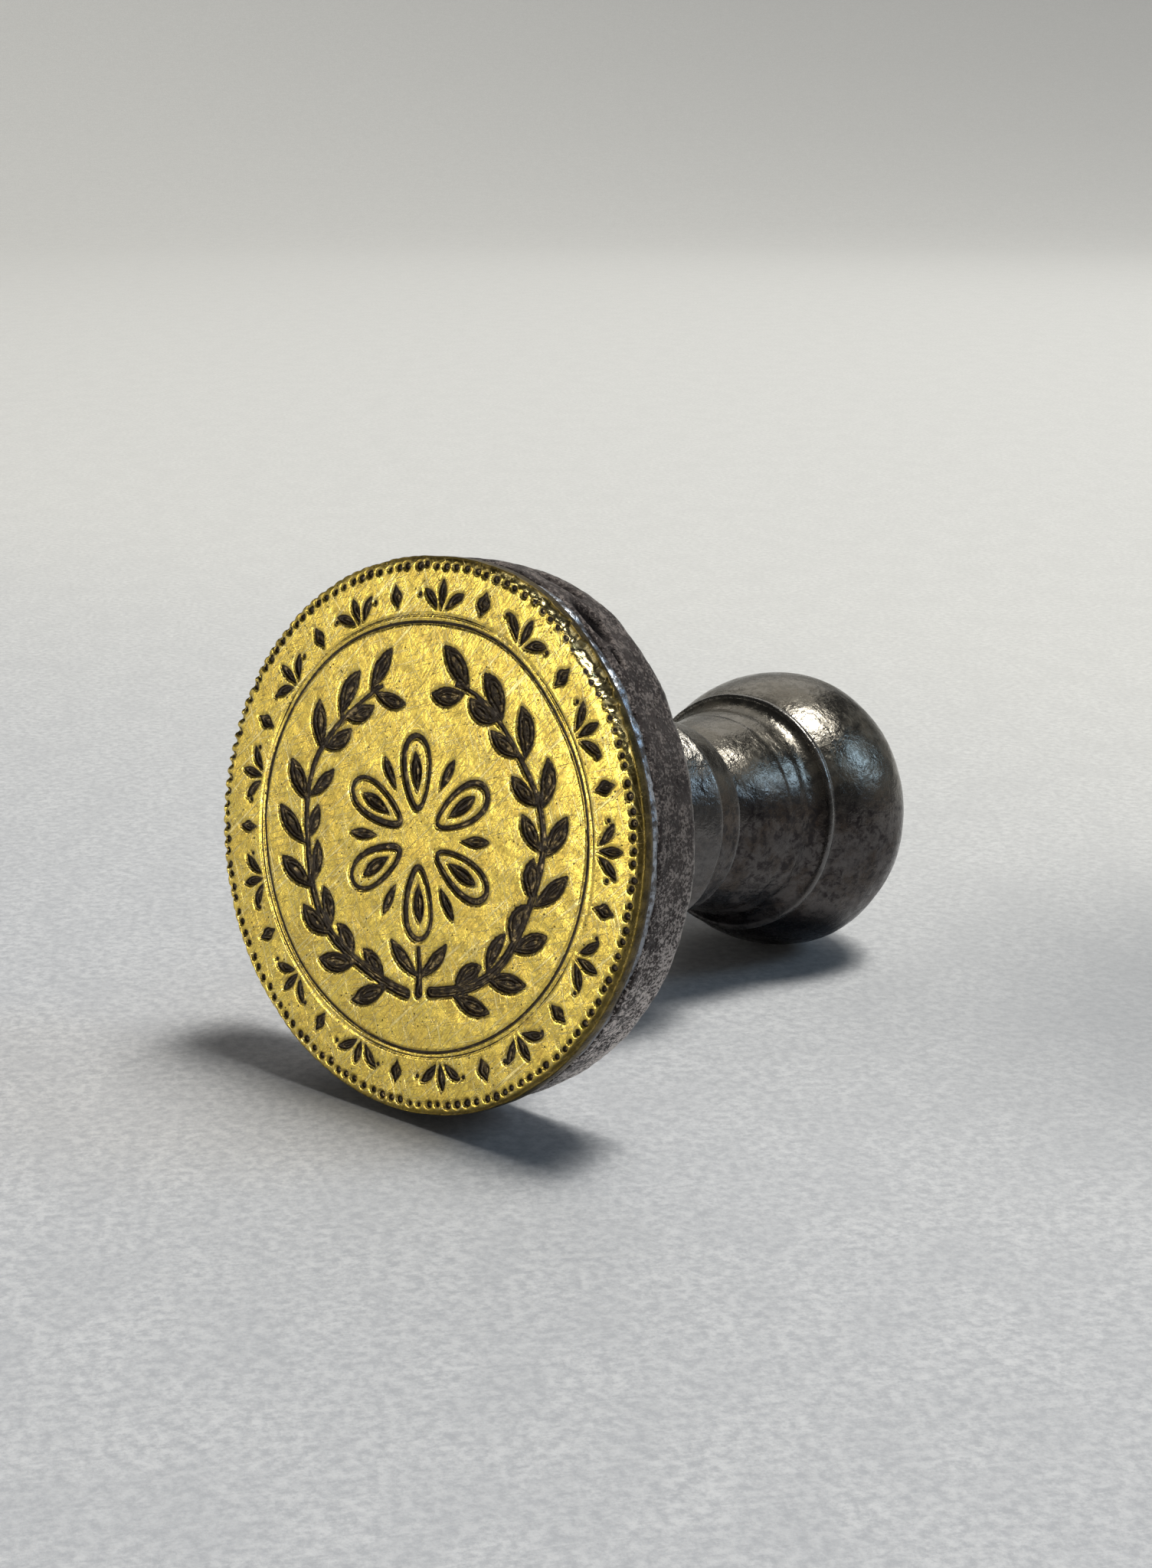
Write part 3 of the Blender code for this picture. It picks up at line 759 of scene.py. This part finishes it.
def wear_face(flat, angle, edge, depth):
    """The worn face's points, with the vertex fields of its looks and the share of bevel on its rim."""
    distance = np.hypot(flat[:, 0], flat[:, 1])
    share = (distance / FACE_RADIUS) ** 14
    squeezed = flat * (1 - rim_notches(angle) * share / FACE_RADIUS)[:, None]
    # The rim has broken away outside the dots on the side that took the blows, leaving a ledge.
    blows = side_of(angle, *BLOWS)
    lumps = np.clip(0.5 + 0.8 * waves(flat, 2.4, 21, 2), 0, 1.2)
    between = 0.5 - 0.5 * np.cos(DOT_COUNT * angle)
    hardest = side_of(angle, *HARDEST_BLOWS)
    ledge = distance - LEDGE_RADIUS - 0.1 * between + 0.42 * hardest * (0.6 + 0.5 * lumps)
    ledge = np.clip(ledge / LEDGE_SLOPE, 0, 1)
    worn = blows * (0.42 + 0.3 * lumps) * ledge
    worn = worn + 0.12 * blows * lumps * np.clip((distance - 19.4) / 1.2, 0, 1)
    # Around the blows the rim is bevelled from the dots outwards.
    bevel = side_of(angle, *BEVEL) * np.clip((distance - BEVEL_RADIUS) / BEVEL_SLOPE, 0, 1)
    worn = np.maximum(worn, BEVEL_DEPTH * bevel)
    uneven = 0.02 * waves(flat, 16.0, 5, 2) + 0.006 * waves(flat, 3.0, 6, 2)
    filled = 1 - (0.4 * blows + 0.5 * hardest) * (distance > 19.3)
    height = np.clip(depth * filled + worn + uneven + CLEARANCE, 0, 1.0)
    facet = blows * np.clip(ledge * (1.6 - ledge) * 1.6, 0, 1) * (ledge > 0.05)
    dull = np.clip(blows * 1.3, 0, 1) * (ledge > 0.95) * 0.8
    dull = np.maximum(dull, 0.92 * np.clip(bevel * 3, 0, 1) * (facet < 0.3))
    fields = {"cut": edge + 0.5 * blows * ledge, "wall": dull, "wear": facet}
    return np.concatenate([squeezed, height[:, None]], axis=1), fields, bevel


def plate_side(rim, angle):
    """Rings of points from the face's outermost ring over the rounded rim to the back."""
    rim_radius = np.hypot(rim[:, 0], rim[:, 1])
    full = FACE_RADIUS - CLEARANCE - rim_notches(angle)
    rings = []
    for drop, out, _ in PLATE_SIDE:
        radius = rim_radius + (full - rim_radius) * out
        if drop > 0.2:
            radius = radius + (FACE_RADIUS - CLEARANCE - radius) * 0.7 * min(1.0, drop)
        level = np.maximum(drop, rim[:, 2] + 0.02) if drop < 1.2 else np.full(len(rim), drop)
        rings.append(np.stack([radius * np.cos(angle), radius * np.sin(angle), level], 1))
    return rings


def plate_faces(narrow_rings, wide_rings):
    """Faces over the plate, whose last point is the middle of its back."""
    few, many = PLATE_COUNT // 2, PLATE_COUNT
    faces = [(0, 1 + i, 1 + (i + 1) % few) for i in range(few)]
    start = 1
    for _ in range(narrow_rings - 1):
        faces += ring_faces(start + few, start, few)
        start += few
    wide = start + few
    for i in range(few):
        a, b = start + i, start + (i + 1) % few
        c, d, e = wide + 2 * i, wide + 2 * i + 1, wide + (2 * i + 2) % many
        faces += [(a, c, d), (a, d, b), (b, d, e)]
    start = wide
    for _ in range(wide_rings - 1):
        faces += ring_faces(start + many, start, many)
        start += many
    centre = start + many
    return faces + [(start + (i + 1) % many, start + i, centre) for i in range(many)]


def make_plate():
    """The brass plate with its engraved and battered face."""
    inner, outer = plate_rings()
    flat = flat_points(inner, outer)
    angle = np.arctan2(flat[:, 1], flat[:, 0])
    edge, depth, glint = engrave(flat)
    face, fields, bevel = wear_face(flat, angle, edge, depth)
    side = plate_side(face[-PLATE_COUNT:], angle[-PLATE_COUNT:])
    points = np.concatenate([face] + side + [np.array([[0.0, 0.0, PLATE_BACK]])])
    faces = plate_faces(len(inner), len(outer) + len(side))

    added = len(points) - len(face)
    bevelled = np.clip(bevel[-PLATE_COUNT:] * 2.5, 0, 0.9)
    dulled = [np.maximum(bevelled, dullness) for _, _, dullness in PLATE_SIDE]
    fields["cut"] = np.concatenate([fields["cut"], np.full(added, FAR)])
    fields["glint"] = np.concatenate([glint, np.zeros(added)])
    fields["wall"] = np.concatenate([fields["wall"]] + dulled + [np.ones(1)])
    fields["wear"] = np.concatenate([fields["wear"], np.zeros(added)])
    material = brass_material()
    return make_piece("engraved_plate", points, faces, material, "face_plate", fields)


# --------------------------------------------------------------------------------------- solder, disc, handle
def make_solder():
    """The uneven line of solder between the plate and the disc."""
    section = [(SOLDER_FRONT, 18.5), (SOLDER_FRONT, SOLDER_RADIUS - 0.1)]
    section += arc(((SOLDER_FRONT + SOLDER_BACK) / 2, SOLDER_RADIUS - 0.1), 0.5, 0.1, -80, 80, 8)
    section += [(SOLDER_BACK, SOLDER_RADIUS - 0.1), (SOLDER_BACK, 18.5)]
    profile = dense(section, 0.11, 0.12)
    points, angle = turned_grid(profile, SOLDER_COUNT)
    radius = np.hypot(points[:, 0], points[:, 1])
    loose = np.clip((radius - 20.0) / 0.6, 0, 1)
    rough = waves(points, 3.0, 31, 4)
    slack = np.clip(waves(points, 7.0, 32, 2), -1, 0.6)
    out = loose * (0.07 * rough + 0.12 * slack - 0.03)
    push_out(points, angle, out)
    faces = turned_faces(len(profile), SOLDER_COUNT, closed=True)
    material = solder_material()
    return make_piece("solder_seam", points, faces, material, "solder_layer")


def make_disc():
    """The iron disc, dented all over and with a few dark hollows in its edge."""
    section = [(DISC_FRONT, 17.5), (DISC_FRONT, DISC_FRONT_RADIUS - 0.2)]
    section += [(DISC_FRONT + 0.2, DISC_FRONT_RADIUS), (DISC_BACK - 0.7, DISC_BACK_RADIUS)]
    section += arc((DISC_BACK - 0.7, DISC_BACK_RADIUS - 0.7), 0.7, 0.7, 0, 90, 8)
    section += [(DISC_BACK, 6.0)]
    profile = dense(section, 0.17, 0.3)
    points, angle = turned_grid(profile, DISC_COUNT)
    radius = np.hypot(points[:, 0], points[:, 1])
    height = points[:, 2]
    hollow = np.zeros(len(points))
    for middle, level, half_arc, half_level in HOLLOWS:
        away = (angle - math.radians(middle) + math.pi) % (2 * math.pi) - math.pi
        shape = (np.degrees(away) / half_arc) ** 2 + ((height - level) / half_level) ** 2
        hollow = np.maximum(hollow, np.clip(1.3 - shape, 0, 1) * (radius > 19.5))
    dents = 0.05 * waves(points, 6.0, 41, 4) + 0.05 * np.clip(waves(points, 1.3, 42, 2), -1, 0)
    push_out(points, angle, np.where(radius > 19.9, dents - 0.06 - HOLLOW_DEPTH * hollow, 0))
    rear = (height > DISC_BACK - 0.8) & (radius < 20.2)
    points[:, 2] += np.where(rear, 0.07 * waves(points, 7.0, 43, 4) - 0.08, 0)
    faces = turned_faces(len(profile), DISC_COUNT)
    # A band round the rear edge, rubbed bright and painted as a highlight.
    rubbed_rim_and_highlight = np.exp(-(((height - DISC_BACK + 0.32) / 0.24) ** 2)) * (radius > 19.4)
    fields = {"hollow": hollow, "rubbed_rim_and_highlight": rubbed_rim_and_highlight}
    material = pitted_material()
    return make_piece("iron_disc", points, faces, material, "backing_disc", fields)


def handle_section():
    """Half section of the handle outside the disc, from its foot to the end of the knob."""
    foot = DISC_BACK - 0.1
    section = [(foot, FOOT_RADIUS - 0.4), (foot, FOOT_RADIUS)]
    section += arc(((foot + FOOT_END) / 2, FOOT_RADIUS), (FOOT_END - foot) / 2, 0.73, -60, 90)
    section += ease((FOOT_END, FOOT_RADIUS), (STEM_CENTRE, STEM_RADIUS))
    flare = np.linspace(0, 1, 30)
    widths = STEM_RADIUS + (COLLAR_RADIUS - STEM_RADIUS) * flare ** COLLAR_FLARE
    section += list(zip(STEM_CENTRE + (COLLAR_LIP - STEM_CENTRE) * flare, widths))
    section += arc((COLLAR_LIP, COLLAR_RADIUS - COLLAR_ROUND), COLLAR_ROUND, COLLAR_ROUND, 0, 80, 8)
    section += [(FILLET_START, FILLET_RADIUS), (FILLET_END, FILLET_RADIUS), (FILLET_END + 0.25, WAIST_RADIUS)]
    section += [(WAIST_END, WAIST_RADIUS)]
    section += [((WAIST_END + BODY_END) / 2, (WAIST_RADIUS + BODY_RADIUS) / 2 + 0.16)]
    section += [(BODY_END, BODY_RADIUS), (BODY_END + 0.3, BODY_RADIUS - 0.02)]
    section += [(BODY_END + 0.6, BODY_RADIUS + 0.08)]
    section += [(COVE_START, COVE_RADIUS)]
    section += arc((COVE_START, RIDGE_RADIUS), RIDGE_AT - COVE_START, COVE_RADIUS - RIDGE_RADIUS, 20, 78)
    section += arc((RIDGE_AT + 0.3, RIDGE_RADIUS - 0.2), 0.42, 0.34, -60, 70, 8)
    start = math.acos(RIDGE_RADIUS / KNOB_RADIUS)
    front_length = (KNOB_CENTRE - RIDGE_AT - 0.7) / math.sin(start)
    section += arc((KNOB_CENTRE, 0.0), front_length, KNOB_RADIUS, -math.degrees(start), 0, 40)
    section += arc((KNOB_CENTRE, 0.0), KNOB_END_LENGTH, KNOB_RADIUS, 0, 89.2, 60)[1:]
    return section


def make_handle():
    """The turned handle, slightly uneven, with its ridge, fillet and collar worn bright."""
    profile = dense(handle_section(), 0.14, 0.26)
    points, angle = turned_grid(profile, HANDLE_COUNT)
    radius = np.hypot(points[:, 0], points[:, 1])
    height = points[:, 2]
    dents = 0.03 * waves(points, 9.0, 51, 3) - 0.035
    dents *= np.clip(radius / 3.0, 0, 1)
    push_out(points, angle, dents)
    edges = np.exp(-(((height - RIDGE_AT - 0.3) / 0.35) ** 2)) * (radius > RIDGE_RADIUS - 0.3)
    edges += np.exp(-(((height - FILLET_END) / 0.3) ** 2)) * (radius > FILLET_RADIUS - 0.3)
    collar = np.clip((height - 18.0) / 6.0, 0, 1) * (height < FILLET_START)
    polish = np.clip(0.8 * edges + 0.35 * collar, 0, 1)
    faces = turned_faces(len(profile), HANDLE_COUNT)
    material, fields = turned_material(), {"polish": polish}
    return make_piece("turned_handle", points, faces, material, "handle", fields)


# ------------------------------------------------------------------------------------- paper, lights, camera
def make_paper():
    """A round sheet of pale paper under the seal that curves up far away, all round."""
    profile = [(0.0, 0.02), (0.0, 0.1), (0.0, 0.4), (0.0, PAPER_FLAT)]
    for i in range(1, 13):
        turn = math.pi / 2 * i / 12
        height = PAPER_CURVE * (1 - math.cos(turn))
        profile.append((height, PAPER_FLAT + PAPER_CURVE * math.sin(turn)))
    vertices = [(0.0, 0.0, 0.0)]
    for height, radius in profile:
        for i in range(PAPER_COUNT):
            angle = 2 * math.pi * i / PAPER_COUNT
            vertices.append((radius * math.cos(angle), radius * math.sin(angle), height))
    faces = [(0, 1 + i, 1 + (i + 1) % PAPER_COUNT) for i in range(PAPER_COUNT)]
    for ring in range(len(profile) - 1):
        faces += ring_faces(1 + (ring + 1) * PAPER_COUNT, 1 + ring * PAPER_COUNT, PAPER_COUNT)
    mesh = bpy.data.meshes.new("paper")
    mesh.from_pydata(vertices, [], faces)
    mesh.polygons.foreach_set("use_smooth", [True] * len(mesh.polygons))
    mesh.materials.append(paper_material())
    paper = bpy.data.objects.new("paper", mesh)
    bpy.context.collection.objects.link(paper)
    return paper


def soft_light(name, direction, distance, size, power, colour):
    """A rectangular soft light that faces the seal's middle from a direction, distance metres away."""
    data = bpy.data.lights.new(name, "AREA")
    data.shape = "RECTANGLE"
    data.size, data.size_y = size
    data.energy = power
    data.color = colour
    light = bpy.data.objects.new(name, data)
    bpy.context.collection.objects.link(light)
    target = Vector((0.0, 0.0, 0.02))
    towards = Vector(direction).normalized()
    light.location = target + towards * distance
    light.rotation_mode = "QUATERNION"
    light.rotation_quaternion = towards.to_track_quat("Z", "Y")
    return light


def make_lights(paper):
    """Window light from above, blue sky on the right, and a warm lamp that the brass face mirrors."""
    soft_light("window", (0.18, 0.26, 0.95), 2.5, (0.80, 0.80), 45.0, (1.0, 0.985, 0.94))
    soft_light("pane", (0.16, 0.22, 0.96), 2.45, (0.28, 0.28), 11.0, (1.0, 0.985, 0.94))
    soft_light("sky", (0.655, 0.532, 0.50), 2.5, (0.7, 0.9), 9.0, (0.52, 0.75, 1.0))
    soft_light("ceiling", (-0.45, 0.60, 0.65), 2.5, (1.6, 1.6), 8.5, (1.0, 0.97, 0.92))
    soft_light("room", (-0.64, -0.76, 0.05), 0.9, (0.60, 0.22), 0.35, (1.0, 0.97, 0.90))
    lamp = soft_light("lamp", (-0.34, -0.92, 0.125), 0.9, (0.34, 0.18), 1.75, (1.0, 0.96, 0.84))
    # The paper lies in the lamp's shade, so the shadows on it stay deep.
    shaded = bpy.data.collections.new("shaded")
    shaded.objects.link(paper)
    shaded.collection_objects[0].light_linking.link_state = "EXCLUDE"
    lamp.light_linking.receiver_collection = shaded
    world = bpy.data.worlds.new("studio")
    world.use_nodes = True
    bpy.context.scene.world = world
    background = world.node_tree.nodes["Background"]
    background.inputs["Color"].default_value = (0.80, 0.82, 0.86, 1.0)
    background.inputs["Strength"].default_value = 0.04


def make_camera():
    """The camera looks at the seal from its front right, a little above the table."""
    azimuth, elevation = math.radians(38.8), math.radians(16.0)
    distance, lens = 0.17298, 52.73
    aside, above = 0.01195, 0.00405
    level = math.cos(elevation)
    sight = Vector((math.sin(azimuth) * level, -math.cos(azimuth) * level, math.sin(elevation)))
    rightward = Vector((math.cos(azimuth), math.sin(azimuth), 0.0))
    upward = sight.cross(rightward)
    data = bpy.data.cameras.new("camera")
    data.lens = lens
    data.sensor_width = 36.0
    data.clip_start = 0.01
    data.clip_end = 10.0
    camera = bpy.data.objects.new("camera", data)
    bpy.context.collection.objects.link(camera)
    camera.location = face_middle + rightward * aside + upward * above + sight * distance
    camera.rotation_mode = "QUATERNION"
    camera.rotation_quaternion = sight.to_track_quat("Z", "Y")
    bpy.context.scene.camera = camera


make_plate()
make_solder()
make_disc()
make_handle()
make_lights(make_paper())
make_camera()
bpy.context.scene.view_settings.view_transform = "Standard"
